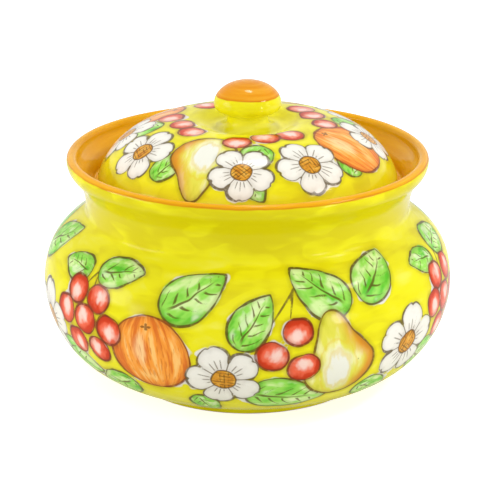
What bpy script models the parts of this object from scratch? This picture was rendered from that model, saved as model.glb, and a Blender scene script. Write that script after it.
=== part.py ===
"""Wide round cookie jar of glazed earthenware, with a domed lid that lifts off.

Every piece is a thrown form, so each one is a closed profile turned about the upright axis.
The jar stands on a low foot ring, swells to a wide belly, draws in to a neck and flares out
again to a rounded lip. Inside the neck a gallery, a narrow shelf, carries the lid. The lid has
a flat seat on the gallery, a locating ring that drops inside it, and a knob luted on top.

Units are metres, +Z is up, and the origin is the centre of the circle that the foot stands on.
Profiles are lists of (radius, height) points.
"""

import math

import bmesh
import bpy

# Outside of the jar. Each height is measured up from the station below it.
FOOT_R = 0.0755
FOOT_H = 0.0055
BELLY_R = 0.125
BELLY_RISE = 0.0551
NECK_R = 0.0985
SHOULDER_RISE = 0.046
LIP_R = 0.1096
FLARE_RISE = 0.0309

# Thickness of the jar, and the underside of its foot.
WALL = 0.0065
FOOT_RING_W = 0.0085
FOOT_RECESS = 0.0035
FOOT_ROUND = 0.0012

# Gallery inside the neck: how far it stands in from the wall, how thick it is at its tip, and
# how far its seat lies above the neck.
GALLERY_W = 0.008
GALLERY_T = 0.0065
GALLERY_RISE = 0.0149
GALLERY_ROUND = 0.0012

# Lid: outside radius inside the flare, dome, wall, seat and locating ring.
LID_CLEARANCE = 0.0012
LID_T = 0.006
LID_EDGE_H = 0.0051
LID_EDGE_ROUND = 0.0024
CREST_R = 0.036
CREST_H = 0.0385
CROWN_DIP = 0.0042
RING_CLEARANCE = 0.0015
RING_T = 0.0055
RING_H = 0.0105
RING_ROUND = 0.0015

# Knob: a flattened ball on a short waisted stem.
KNOB_R = 0.0204
KNOB_TOP_H = 0.014
KNOB_UNDER_H = 0.0082
STEM_H = 0.0142
STEM_WAIST_R = 0.0124
STEM_BASE_R = 0.0185
STEM_EDGE_H = 0.0008

# Gap between a piece and the face that it rests on.
SEAT_GAP = 0.0003

# Shape of the curves: the angle at which the belly leaves the foot and at which the dome rises
# from its edge, and each handle as a share of the straight distance that its curve spans.
BELLY_START_ANGLE = math.radians(9.5)
BELLY_HANDLES = (0.594, 0.132)
SHOULDER_HANDLES = (0.697, 0.149)
FLARE_HANDLES = (0.712, 0.316)
DOME_START_ANGLE = math.radians(73.0)
DOME_HANDLES = (0.195, 0.565)
STEM_HANDLES = (0.42, 0.5)

# Facets round the axis and along each curve, and the fine steps that a curve is measured in.
JAR_SEGMENTS = 68
LID_SEGMENTS = 68
KNOB_SEGMENTS = 40
LOWER_FACETS = 9
UPPER_FACETS = 7
FLARE_FACETS = 6
DOME_FACETS = 9
CROWN_FACETS = 3
FINE_STEPS = 48


def along(point, angle, distance):
    """Return the point that lies a distance away from another at an angle."""
    return (point[0] + distance * math.cos(angle), point[1] + distance * math.sin(angle))


def curve(start, start_angle, end, end_angle, handles):
    """Return close points on a cubic curve, from its ends, its directions there and its handles."""
    span = math.dist(start, end)
    first = along(start, start_angle, handles[0] * span)
    second = along(end, end_angle, -handles[1] * span)
    points = []
    for step in range(FINE_STEPS + 1):
        t = step / FINE_STEPS
        weights = ((1 - t) ** 3, 3 * (1 - t) ** 2 * t, 3 * (1 - t) * t * t, t ** 3)
        corners = (start, first, second, end)
        points.append(tuple(sum(w * c[axis] for w, c in zip(weights, corners)) for axis in (0, 1)))
    return points


def arc(centre, radii, start_angle, end_angle, steps):
    """Return points on an arc of an ellipse with the given (across, up) radii."""
    points = []
    for step in range(steps + 1):
        angle = start_angle + (end_angle - start_angle) * step / steps
        points.append((centre[0] + radii[0] * math.cos(angle), centre[1] + radii[1] * math.sin(angle)))
    return points


def evenly(points, facets):
    """Return points that split a line of close points into facets of equal length."""
    lengths = [0.0]
    for near, far in zip(points, points[1:]):
        lengths.append(lengths[-1] + math.dist(near, far))
    spaced = [points[0]]
    index = 0
    for facet in range(1, facets):
        wanted = lengths[-1] * facet / facets
        while lengths[index + 1] < wanted:
            index += 1
        share = (wanted - lengths[index]) / (lengths[index + 1] - lengths[index])
        spaced.append(tuple(a + share * (b - a) for a, b in zip(points[index], points[index + 1])))
    return spaced + [points[-1]]


def offset(points, distance):
    """Return the points moved to the left of their direction of travel."""
    moved = []
    for index, point in enumerate(points):
        before = points[max(index - 1, 0)]
        after = points[min(index + 1, len(points) - 1)]
        angle = math.atan2(after[1] - before[1], after[0] - before[0]) + math.pi / 2
        moved.append(along(point, angle, distance))
    return moved


def height_at(points, radius):
    """Return the height at which a curve first crosses a radius."""
    for near, far in zip(points, points[1:]):
        if min(near[0], far[0]) <= radius <= max(near[0], far[0]) and near[0] != far[0]:
            share = (radius - near[0]) / (far[0] - near[0])
            return near[1] + share * (far[1] - near[1])
    return points[-1][1]


def radius_at(points, height):
    """Return the radius at which a curve first crosses a height."""
    return height_at([(up, across) for across, up in points], height)


def belly_z():
    """Return the height of the widest circle of the jar."""
    return FOOT_H + BELLY_RISE


def neck_z():
    """Return the height of the narrowest circle of the neck."""
    return belly_z() + SHOULDER_RISE


def gallery_z():
    """Return the height of the shelf that the lid rests on."""
    return neck_z() + GALLERY_RISE


def gallery_tip_r():
    """Return the radius of the gallery's inner edge."""
    return NECK_R - WALL - GALLERY_W


def belly_curves():
    """Return the outside of the jar from foot to belly, and from belly to neck."""
    up = math.pi / 2
    belly = (BELLY_R, belly_z())
    lower = curve((FOOT_R, FOOT_H), BELLY_START_ANGLE, belly, up, BELLY_HANDLES)
    upper = curve(belly, up, (NECK_R, neck_z()), up, SHOULDER_HANDLES)
    return lower, upper


def flare_curve():
    """Return the outside of the jar from the neck to the outer edge of the lip."""
    up = math.pi / 2
    return curve((NECK_R, neck_z()), up, (LIP_R, neck_z() + FLARE_RISE), up, FLARE_HANDLES)


def jar_profile():
    """Return the section of the jar, from the middle of its base outwards and round."""
    ring_in = FOOT_R - FOOT_RING_W
    base = [(0.0, FOOT_RECESS), (ring_in, FOOT_RECESS), (ring_in, FOOT_ROUND)]
    base += arc((ring_in + FOOT_ROUND, FOOT_ROUND), (FOOT_ROUND, FOOT_ROUND), math.pi, 1.5 * math.pi, 2)[1:]
    base += arc((FOOT_R - FOOT_ROUND, FOOT_ROUND), (FOOT_ROUND, FOOT_ROUND), -math.pi / 2, 0.0, 2)

    lower, upper = belly_curves()
    flare = flare_curve()
    outside = evenly(lower, LOWER_FACETS) + evenly(upper, UPPER_FACETS)[1:] + evenly(flare, FLARE_FACETS)[1:]
    lip = arc((LIP_R - WALL / 2, flare[-1][1]), (WALL / 2, WALL / 2), 0.0, math.pi, 6)[1:-1]

    lining = offset(flare, WALL)
    corner = (radius_at(lining, gallery_z()), gallery_z())
    above = [p for p in lining if p[1] > gallery_z() + 2 * GALLERY_ROUND]
    inner_flare = evenly(above[::-1], FLARE_FACETS - 2)
    seat = [(corner[0] + GALLERY_ROUND / 4, corner[1] + GALLERY_ROUND), (corner[0] - GALLERY_ROUND, corner[1])]
    tip = gallery_tip_r()
    nose = arc((tip + GALLERY_ROUND, gallery_z() - GALLERY_ROUND), (GALLERY_ROUND, GALLERY_ROUND),
               math.pi / 2, math.pi, 2)

    inner_bowl = [p for p in offset(lower, WALL) + offset(upper, WALL)[1:] if p[1] < neck_z() - WALL]
    lean = math.atan2(inner_bowl[-1][1] - inner_bowl[-2][1], inner_bowl[-1][0] - inner_bowl[-2][0])
    under = curve(inner_bowl[-1], lean, (tip, gallery_z() - GALLERY_T), math.radians(110.0), (0.4, 0.2))
    inside = evenly(under[::-1], 4) + evenly(inner_bowl[::-1], LOWER_FACETS + UPPER_FACETS - 5)[1:]
    middle = (0.0, inner_bowl[0][1])
    return base + outside + lip + inner_flare + seat + nose + inside + [middle]


def dome_curve():
    """Return the outside of the lid from its widest circle up to the ring of its crest."""
    edge = (NECK_R - WALL - LID_CLEARANCE, gallery_z() + LID_EDGE_H)
    crest = (CREST_R, gallery_z() + CREST_H)
    return curve(edge, math.pi - DOME_START_ANGLE, crest, math.pi, DOME_HANDLES)


def crown_z():
    """Return the height of the flat in the middle of the lid, which carries the knob."""
    return gallery_z() + CREST_H - CROWN_DIP


def lid_profile():
    """Return the section of the lid, from the middle of its hollow outwards and round."""
    dome = dome_curve()
    crown_r = STEM_BASE_R + SEAT_GAP
    dip = curve(dome[-1], math.pi, (crown_r, crown_z()), math.pi, (0.45, 0.35))
    outside = evenly(dome, DOME_FACETS) + evenly(dip, CROWN_FACETS)[1:] + [(0.0, crown_z())]

    seat_z = gallery_z() + SEAT_GAP
    edge_start = (dome[0][0] - LID_EDGE_ROUND, seat_z)
    edge = evenly(curve(edge_start, 0.0, dome[0], math.pi / 2, (0.45, 0.45)), 3)[:-1]

    ring_out = gallery_tip_r() - RING_CLEARANCE
    ring_in = ring_out - RING_T
    ring_low = seat_z - RING_H + RING_ROUND
    rounding = (RING_ROUND, RING_ROUND)
    ring = arc((ring_in + RING_ROUND, ring_low), rounding, math.pi, 1.5 * math.pi, 2)
    ring += arc((ring_out - RING_ROUND, ring_low), rounding, -math.pi / 2, 0.0, 2)

    lining = offset(dome + dip[1:], LID_T)
    roof = [p for p in lining if p[0] < ring_in - LID_T][::-1]
    roof_lean = math.atan2(roof[-1][1] - roof[-2][1], roof[-1][0] - roof[-2][0])
    wall_top = (ring_in, height_at(lining, ring_in) - 1.5 * LID_T)
    cove = curve(roof[-1], roof_lean, wall_top, -math.pi / 2, (0.4, 0.4))
    hollow = [(0.0, crown_z() - LID_T)] + evenly(roof, DOME_FACETS - 1) + evenly(cove, 3)[1:]
    return hollow + ring + [(ring_out, seat_z)] + edge + outside


def knob_profile():
    """Return the section of the knob, from the middle of its foot outwards and up."""
    low = crown_z() + SEAT_GAP
    ball_z = low + STEM_H
    cut = math.acos(min(STEM_WAIST_R * 1.08 / KNOB_R, 1.0))
    under = arc((0.0, ball_z), (KNOB_R, KNOB_UNDER_H), -cut, 0.0, 5)
    top = arc((0.0, ball_z), (KNOB_R, KNOB_TOP_H), 0.0, math.pi / 2, 9)
    rim = (STEM_BASE_R, low + STEM_EDGE_H)
    waist = (STEM_WAIST_R, (2 * under[0][1] + rim[1]) / 3)
    flare = curve(rim, math.radians(160.0), waist, math.pi / 2, STEM_HANDLES)
    throat = curve(waist, math.pi / 2, under[0], math.radians(20.0), (0.4, 0.3))
    stem = evenly(flare, 5) + evenly(throat, 3)[1:]
    return [(0.0, low), (STEM_BASE_R, low)] + stem + under[1:] + top[1:-1] + [(0.0, top[-1][1])]


def glaze(name, colour, roughness):
    """Return a plain material for a fired and glazed surface."""
    material = bpy.data.materials.new(name)
    material.use_nodes = True
    shader = material.node_tree.nodes["Principled BSDF"]
    shader.inputs["Base Color"].default_value = (*colour, 1.0)
    shader.inputs["Roughness"].default_value = roughness
    shader.inputs["Metallic"].default_value = 0.0
    material.diffuse_color = (*colour, 1.0)
    return material


def turned(name, profile, segments, material):
    """Turn a closed profile about the Z axis and return it as an object."""
    shape = bmesh.new()
    points = [shape.verts.new((radius, 0.0, height)) for radius, height in profile]
    edges = [shape.edges.new(pair) for pair in zip(points, points[1:])]
    bmesh.ops.spin(shape, geom=points + edges, cent=(0.0, 0.0, 0.0), axis=(0.0, 0.0, 1.0),
                   angle=2 * math.pi, steps=segments, use_merge=True)
    bmesh.ops.remove_doubles(shape, verts=shape.verts, dist=1e-6)
    bmesh.ops.recalc_face_normals(shape, faces=shape.faces)
    mesh = bpy.data.meshes.new(name)
    shape.to_mesh(mesh)
    shape.free()
    mesh.shade_smooth()
    mesh.set_sharp_from_angle(angle=math.radians(35.0))
    mesh.materials.append(material)
    piece = bpy.data.objects.new(name, mesh)
    bpy.context.scene.collection.objects.link(piece)
    return piece


def build():
    """Clear the scene and model the jar, the lid and the knob."""
    for old in list(bpy.data.objects):
        bpy.data.objects.remove(old, do_unlink=True)

    lemon = glaze("lemon_yellow_glaze", (0.87, 0.78, 0.02), 0.12)
    pale = glaze("warm_yellow_glaze", (0.9, 0.76, 0.03), 0.12)
    orange = glaze("orange_glaze", (0.86, 0.31, 0.02), 0.12)

    turned("jar_body", jar_profile(), JAR_SEGMENTS, lemon)
    lid = turned("lid", lid_profile(), LID_SEGMENTS, pale)
    knob = turned("lid_knob", knob_profile(), KNOB_SEGMENTS, orange)
    knob.parent = lid


build()
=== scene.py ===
"""Dresses the cookie jar for its picture: thrown earthenware under a glossy, hand-painted glaze.

The jar and its lid are turned from their sections by one Geometry Nodes tree. A garland of fruit,
blossoms and leaves is laid out on flat maps of both, and the glaze is painted coat by coat in
shader nodes, as a decorator would: the ground first, then leaves, fruit, cherries and blossoms.

The frame is in metres, +Z up. Sections, maps and motifs are worked in millimetres.
"""

import logging
import math
from dataclasses import dataclass, field
from enum import Enum

import bpy
import numpy as np
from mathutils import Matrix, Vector


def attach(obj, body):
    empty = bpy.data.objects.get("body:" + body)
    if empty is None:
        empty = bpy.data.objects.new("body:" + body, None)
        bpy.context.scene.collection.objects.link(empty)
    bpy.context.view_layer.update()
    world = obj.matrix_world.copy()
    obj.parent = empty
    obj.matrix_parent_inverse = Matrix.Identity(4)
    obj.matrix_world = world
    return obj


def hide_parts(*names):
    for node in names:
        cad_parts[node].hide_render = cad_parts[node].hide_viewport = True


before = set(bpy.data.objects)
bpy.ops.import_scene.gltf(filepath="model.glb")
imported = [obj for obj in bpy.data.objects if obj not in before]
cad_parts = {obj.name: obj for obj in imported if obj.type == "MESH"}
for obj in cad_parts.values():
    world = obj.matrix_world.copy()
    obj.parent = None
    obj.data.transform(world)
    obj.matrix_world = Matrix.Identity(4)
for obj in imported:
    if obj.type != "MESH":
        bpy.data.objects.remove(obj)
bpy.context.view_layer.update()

MM = 0.001
log = logging.getLogger("cookie_jar")

# How many close points stand for a curve and for an arc
CURVE_POINTS = 97
ARC_POINTS = 49

# The place of what isn't on a map, and the distance at which no motif is near, in millimetres
OFF_THE_MAP = 999.0
FAR = 99.0


# Curves and sections, as rows of (radius, height) in millimetres

def curve(start: tuple, start_angle: float, end: tuple, end_angle: float, handles: tuple) -> np.ndarray:
    """Draw a cubic curve between two points.

    Args:
        start: First point.
        start_angle: Direction of travel at the first point, in degrees.
        end: Last point.
        end_angle: Direction of travel at the last point, in degrees.
        handles: Length of each handle as a share of the straight distance.

    Returns:
        Close points along the curve.
    """
    start, end = np.array(start, float), np.array(end, float)
    span = np.linalg.norm(end - start)
    lean, fall = np.radians([start_angle, end_angle])
    first = start + handles[0] * span * np.array([math.cos(lean), math.sin(lean)])
    second = end - handles[1] * span * np.array([math.cos(fall), math.sin(fall)])
    t = np.linspace(0.0, 1.0, CURVE_POINTS)[:, None]
    left = 1 - t
    return left ** 3 * start + 3 * left ** 2 * t * first + 3 * left * t * t * second + t ** 3 * end


def arc(centre: tuple, radii: tuple, start_angle: float, end_angle: float) -> np.ndarray:
    """Draw an arc of an ellipse.

    Args:
        centre: Centre of the ellipse.
        radii: Its half width and half height.
        start_angle: Where the arc starts, in degrees.
        end_angle: Where it ends, in degrees.

    Returns:
        Close points along the arc.
    """
    angles = np.radians(np.linspace(start_angle, end_angle, ARC_POINTS))
    return np.array(centre) + np.stack([radii[0] * np.cos(angles), radii[1] * np.sin(angles)], axis=1)


def offset(points: np.ndarray, distance: float) -> np.ndarray:
    """Move points to the left of their direction of travel.

    Args:
        points: Points along a line.
        distance: How far they move.

    Returns:
        The moved points.
    """
    travel = np.gradient(points, axis=0)
    travel /= np.linalg.norm(travel, axis=1, keepdims=True)
    return points + distance * np.stack([-travel[:, 1], travel[:, 0]], axis=1)


def crossing(points: np.ndarray, value: float, axis: int = 0) -> float:
    """Find where a line crosses a radius or a height.

    Args:
        points: Points along the line.
        value: Radius or height that it crosses.
        axis: 0 where the value is a radius, 1 where it is a height.

    Returns:
        The other coordinate of the crossing.
    """
    order = np.argsort(points[:, axis])
    return float(np.interp(value, points[order, axis], points[order, 1 - axis]))


def heading(points: np.ndarray) -> float:
    """Return the direction of travel at the end of a line, in degrees."""
    return math.degrees(math.atan2(*(points[-1] - points[-2])[::-1]))


def lengths_along(points: np.ndarray) -> np.ndarray:
    """Return the distance of each point along a line."""
    return np.concatenate([[0.0], np.cumsum(np.linalg.norm(np.diff(points, axis=0), axis=1))])


class Section:
    """Outline of a turned piece, from the middle of its underside outwards and round."""

    def __init__(self) -> None:
        """Start an empty outline."""
        self.points = np.zeros((0, 2))
        self.marks: dict[str, float] = {}

    def climb(self) -> np.ndarray:
        """Return the distance of each point along the outline."""
        return lengths_along(self.points)

    def turns(self) -> np.ndarray:
        """Measure the climb in radii, as a map that keeps angles needs.

        Returns:
            The climb up to each point, each step of it divided by the radius there.
        """
        radius = np.maximum(self.points[:, 0], 1.0)
        steps = np.diff(self.climb()) * 2 / (radius[1:] + radius[:-1])
        return np.concatenate([[0.0], np.cumsum(steps)])

    def run(self, points: np.ndarray | list, step: float, mark: str = "") -> None:
        """Add a stretch of outline at an even spacing.

        Args:
            points: The stretch as close points.
            step: Wanted distance between the points that are kept.
            mark: Name under which the start of the stretch is remembered.
        """
        points = np.array(points, float)
        lengths = lengths_along(points)
        wanted = np.linspace(0.0, lengths[-1], max(round(lengths[-1] / step), 1) + 1)
        spaced = np.stack([np.interp(wanted, lengths, points[:, axis]) for axis in (0, 1)], axis=1)
        at = len(self.points)
        if at and np.linalg.norm(self.points[-1] - spaced[0]) < 1e-6:
            spaced = spaced[1:]
            at -= 1
        self.points = np.concatenate([self.points, spaced])
        if mark:
            self.marks[mark] = float(self.climb()[at])


# Objects, and the values that a mesh keeps for its vertices

def stand(name: str, data: bpy.types.ID) -> bpy.types.Object:
    """Put a new object into the scene.

    Args:
        name: Name of the object.
        data: Its mesh, light or camera.

    Returns:
        The object.
    """
    item = bpy.data.objects.new(name, data)
    bpy.context.scene.collection.objects.link(item)
    return item


def keep(mesh: bpy.types.Mesh, name: str, values: np.ndarray) -> None:
    """Keep a number or a row of three numbers for each vertex.

    Args:
        mesh: Mesh that keeps them.
        name: Name under which it does.
        values: The numbers or rows.
    """
    kind, part = ("FLOAT", "value") if values.ndim == 1 else ("FLOAT_VECTOR", "vector")
    data = mesh.attributes.new(name, kind, "POINT").data
    data.foreach_set(part, values.astype(np.float32).ravel())


def recall(mesh: bpy.types.Mesh, name: str) -> np.ndarray:
    """Read what a mesh keeps for its vertices.

    Args:
        mesh: Mesh that keeps it.
        name: Name under which it does, such as "position".

    Returns:
        A number or a row of three numbers for each vertex.
    """
    attribute = mesh.attributes[name]
    shape, part = (-1, "value") if attribute.data_type == "FLOAT" else ((-1, 3), "vector")
    values = np.empty(len(mesh.vertices) * (1 if part == "value" else 3), np.float32)
    attribute.data.foreach_get(part, values)
    return values.reshape(shape).astype(float)


# Node trees

SIGNS = {"+": "ADD", "-": "SUBTRACT", "*": "MULTIPLY", "/": "DIVIDE"}
SHORTHAND = {
    "SMOOTH": ("ShaderNodeMapRange", (0, 1, 2), {"interpolation_type": "SMOOTHSTEP"}),
    "PAINT": ("ShaderNodeMix", ("A_Color", "B_Color", "Factor_Float"), {"data_type": "RGBA"}),
    "BETWEEN": ("ShaderNodeMix", ("Factor_Float", "A_Float", "B_Float"), {}),
    "PATCHES": ("ShaderNodeTexNoise", ("Vector", "Scale", "Detail"), {}),
    "CHANCE": ("ShaderNodeTexWhiteNoise", ("Vector",), {"noise_dimensions": "3D"}),
    "MAP": ("ShaderNodeMapping", ("Vector", "Scale", "Location"), {"vector_type": "POINT"}),
    "JOIN": ("ShaderNodeCombineXYZ", (0, 1, 2), {}),
}


def add(tree: bpy.types.NodeTree, kind: str, inputs: dict | None = None,
        **settings: object) -> bpy.types.Node:
    """Add a node with its settings and links.

    Args:
        tree: Tree that gets the node.
        kind: Blender's name for the kind of node.
        inputs: Value, socket or node for each input, by place, identifier or name.
        **settings: Fields of the node.

    Returns:
        The new node.
    """
    node = tree.nodes.new(kind)
    for name, value in settings.items():
        setattr(node, name, value)
    for key, value in (inputs or {}).items():
        if isinstance(key, int):
            socket = node.inputs[key]
        else:
            socket = next(s for s in node.inputs if key in (s.identifier, s.name))
        if isinstance(value, bpy.types.Node):
            value = next(s for s in value.outputs if s.enabled)
        if isinstance(value, bpy.types.NodeSocket):
            tree.links.new(value, socket)
        else:
            socket.default_value = value
    return node


def chain(tree: bpy.types.NodeTree, value: object, *steps: tuple) -> object:
    """Pass a value through a chain of nodes.

    Args:
        tree: Tree that gets the nodes.
        value: Number, colour, socket or node that the first step takes.
        *steps: Each step's operation and its further operands. An operation is one of SHORTHAND,
            one of SIGNS or another of the Math node's.

    Returns:
        The last node, or the value where there are no steps.
    """
    for operation, *operands in steps:
        plain = ("ShaderNodeMath", (0, 1, 2), {"operation": SIGNS.get(operation, operation)})
        kind, keys, settings = SHORTHAND.get(operation, plain)
        value = add(tree, kind, dict(zip(keys, [value, *operands])), **settings)
    return value


def squares(tree: bpy.types.NodeTree, first: object, second: object) -> object:
    """Add the squares of two values, for a distance or an oval.

    Args:
        tree: Tree that gets the nodes.
        first: One value.
        second: The other value.

    Returns:
        The sum, as a node.
    """
    first = chain(tree, first, ("POWER", 2.0))
    return chain(tree, second, ("POWER", 2.0), ("+", first))


def mottle(tree: bpy.types.NodeTree, where: object, sizes: tuple, detail: float = 2.0,
           shift: tuple = (0.0, 0.0, 0.0)) -> object:
    """Make soft uneven patches.

    Args:
        tree: Tree that gets the nodes.
        where: Place in millimetres.
        sizes: Size of a patch along each axis, in millimetres.
        detail: Octaves of finer patches.
        shift: Distance to another, unlike part of the pattern.

    Returns:
        A value about 0.5, mostly between 0.25 and 0.75.
    """
    stretch = tuple(1.0 / size for size in sizes)
    return chain(tree, where, ("MAP", stretch, shift), ("PATCHES", 1.0, detail))


def blank(owner: bpy.types.ID) -> bpy.types.NodeTree:
    """Empty the node tree of a material or a world.

    Args:
        owner: The material or world.

    Returns:
        Its tree, with no nodes.
    """
    owner.use_nodes = True
    owner.node_tree.nodes.clear()
    return owner.node_tree


def hue(code: str) -> tuple[float, float, float, float]:
    """Turn an sRGB hex colour into the linear colour that shaders take.

    Args:
        code: Colour such as "#ECE421".

    Returns:
        Linear red, green, blue and an alpha of 1.
    """
    parts = [int(code[i:i + 2], 16) / 255 for i in (1, 3, 5)]
    return (*(p / 12.92 if p <= 0.04045 else ((p + 0.055) / 1.055) ** 2.4 for p in parts), 1.0)


# The hand leaves low rings 14.3 mm from crest to crest, and they change over 71.4 mm round the form.
# Climb is kept in millimetres and places in metres, so these are in millimetres and in metres.
RING_PITCH = 14.3
RING_DRIFT = 0.0714

# The rings die away over this length of climb, in millimetres, towards the end of a loose stretch
RING_FADE = 8.0


def turning_tree() -> bpy.types.NodeTree:
    """Build the tree that turns a section about the upright axis.

    Returns:
        A Geometry Nodes tree with inputs for the segments, the rings that the hand leaves and the
        glaze.
    """
    tree = bpy.data.node_groups.new("turned_on_the_wheel", "GeometryNodeTree")
    wanted = {"Section": "Geometry", "Segments": "Int", "Unevenness": "Float", "Ring Pitch": "Float",
              "Ring Drift": "Float", "Glaze": "Material"}
    for name, kind in wanted.items():
        tree.interface.new_socket(name, in_out="INPUT", socket_type="NodeSocket" + kind)
    tree.interface.new_socket("Form", in_out="OUTPUT", socket_type="NodeSocketGeometry")
    given = add(tree, "NodeGroupInput").outputs
    section = given["Section"]

    rows = add(tree, "GeometryNodeAttributeDomainSize", {"Geometry": section}).outputs["Point Count"]
    columns = add(tree, "FunctionNodeIntegerMath", {0: given["Segments"], 1: 1}, operation="ADD")
    grid = add(tree, "GeometryNodeMeshGrid", {"Vertices X": columns, "Vertices Y": rows})
    index = add(tree, "GeometryNodeInputIndex")
    row = add(tree, "FunctionNodeIntegerMath", {0: index, 1: rows}, operation="MODULO")
    column = add(tree, "FunctionNodeIntegerMath", {0: index, 1: rows}, operation="DIVIDE")

    # Each column of the grid is one copy of the section, turned to its place
    position = add(tree, "GeometryNodeInputPosition")
    kept = {name: add(tree, "GeometryNodeInputNamedAttribute", {"Name": name}, data_type="FLOAT")
            for name in ("climb", "loose")}
    held = {name: add(tree, "GeometryNodeSampleIndex", {
        "Geometry": section, "Value": value, "Index": row}, data_type="FLOAT")
        for name, value in kept.items()}
    place = add(tree, "GeometryNodeSampleIndex", {
        "Geometry": section, "Value": position, "Index": row}, data_type="FLOAT_VECTOR")
    angle = chain(tree, column, ("/", given["Segments"]), ("*", math.tau))
    turned = add(tree, "ShaderNodeVectorRotate", {"Vector": place, "Angle": angle},
                 rotation_type="Z_AXIS")
    form = add(tree, "GeometryNodeSetPosition", {"Geometry": grid, "Position": turned})
    for name, value in held.items():
        form = add(tree, "GeometryNodeStoreNamedAttribute", {
            "Geometry": form, "Name": name, "Value": value}, data_type="FLOAT", domain="POINT")
    form = add(tree, "GeometryNodeMergeByDistance", {"Geometry": form, "Distance": 1e-6})

    # The hand leaves low rings that wander slowly round the form
    spot = add(tree, "ShaderNodeSeparateXYZ", {0: position}).outputs
    drift = [chain(tree, side, ("/", given["Ring Drift"])) for side in spot[:2]]
    pitch = chain(tree, kept["climb"], ("/", given["Ring Pitch"]))
    ring = chain(tree, drift[0], ("JOIN", drift[1], pitch), ("PATCHES", 1.0, 1.0), ("-", 0.5),
                 ("*", given["Unevenness"]), ("*", kept["loose"]))
    normal = add(tree, "GeometryNodeInputNormal")
    push = add(tree, "ShaderNodeVectorMath", {0: normal, "Scale": ring}, operation="SCALE")
    form = add(tree, "GeometryNodeSetPosition", {"Geometry": form, "Offset": push})
    form = add(tree, "GeometryNodeSetShadeSmooth", {"Geometry": form, "Shade Smooth": True})
    form = add(tree, "GeometryNodeRealizeInstances", {"Geometry": form})
    form = add(tree, "GeometryNodeSetMaterial", {"Geometry": form, "Material": given["Glaze"]})
    add(tree, "NodeGroupOutput", {"Form": form})
    return tree


def turn(name: str, section: Section, segments: int, unevenness: float, loose: str,
         glaze: bpy.types.Material) -> bpy.types.Object:
    """Turn a section on the wheel.

    Args:
        name: Name of the piece.
        section: Its outline.
        segments: Faces round the axis.
        unevenness: Depth of the rings that the hand leaves, in metres.
        loose: Pairs of marks between which the hand may leave rings, such as "belly:lip bowl:floor".
        glaze: Material of the whole piece.

    Returns:
        A plain mesh object, closed and facing out.
    """
    climb = section.climb()
    free = np.zeros(len(climb))
    for stretch in loose.split():
        low, high = (section.marks[mark] for mark in stretch.split(":"))
        free = np.maximum(free, np.clip(np.minimum(climb - low, high - climb) / RING_FADE, 0.0, 1.0))
    outline = bpy.data.meshes.new(name + "_section")
    rows = [(r * MM, 0.0, z * MM) for r, z in section.points]
    outline.from_pydata(rows, [(i, i + 1) for i in range(len(rows) - 1)], [])
    keep(outline, "climb", climb)
    keep(outline, "loose", free)
    wheel = stand(name + "_wheel", outline)

    tree = bpy.data.node_groups.get("turned_on_the_wheel") or turning_tree()
    modifier = wheel.modifiers.new("wheel", "NODES")
    modifier.node_group = tree
    wanted = {"Segments": segments, "Unevenness": unevenness, "Ring Pitch": RING_PITCH,
              "Ring Drift": RING_DRIFT, "Glaze": glaze}
    for socket in tree.interface.items_tree:
        if socket.in_out == "INPUT" and socket.name in wanted:
            modifier[socket.identifier] = wanted[socket.name]

    evaluated = wheel.evaluated_get(bpy.context.evaluated_depsgraph_get())
    mesh = bpy.data.meshes.new_from_object(evaluated)
    mesh.name = name
    mesh.attributes.remove(mesh.attributes["loose"])
    while mesh.materials[0] is None:
        mesh.materials.pop(index=0)
    bpy.data.objects.remove(wheel)
    bpy.data.meshes.remove(outline)
    return stand(name, mesh)


# Maps of the turned surfaces, and the motifs that are laid out on them

# Distance in the patterns between one motif and the next, in millimetres
SEED_SPREAD = 300.0

# Millimetres from its place within which a motif of size 1 may reach
REACH = 80.0


@dataclass(frozen=True)
class Chart:
    """Flat map of a turned surface. It keeps angles, so a motif keeps its shape.

    Attributes:
        flat: Place of each vertex on the map, in millimetres.
        scale: Real millimetres for one on the map, at each vertex.
        girth: Width after which the map repeats, or 0.
    """

    flat: np.ndarray
    scale: np.ndarray
    girth: float = 0.0


@dataclass(frozen=True)
class Place:
    """Where a motif goes on the map, in millimetres and degrees."""

    x: float
    y: float
    turn: float = 0.0
    size: float = 1.0
    bend: float = 0.0

    def measure(self, points: np.ndarray) -> np.ndarray:
        """Turn and scale points about the place.

        Args:
            points: Places on the map, from this one.

        Returns:
            The points in the own measure of a motif that stands here.
        """
        angle = math.radians(self.turn)
        spin = np.array([[math.cos(angle), -math.sin(angle)], [math.sin(angle), math.cos(angle)]])
        return points @ spin / self.size


@dataclass(frozen=True)
class Wash:
    """A watery glaze colour, from where it runs thin to where it lies thickest."""

    thin: str
    middle: str
    pooled: str


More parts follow.
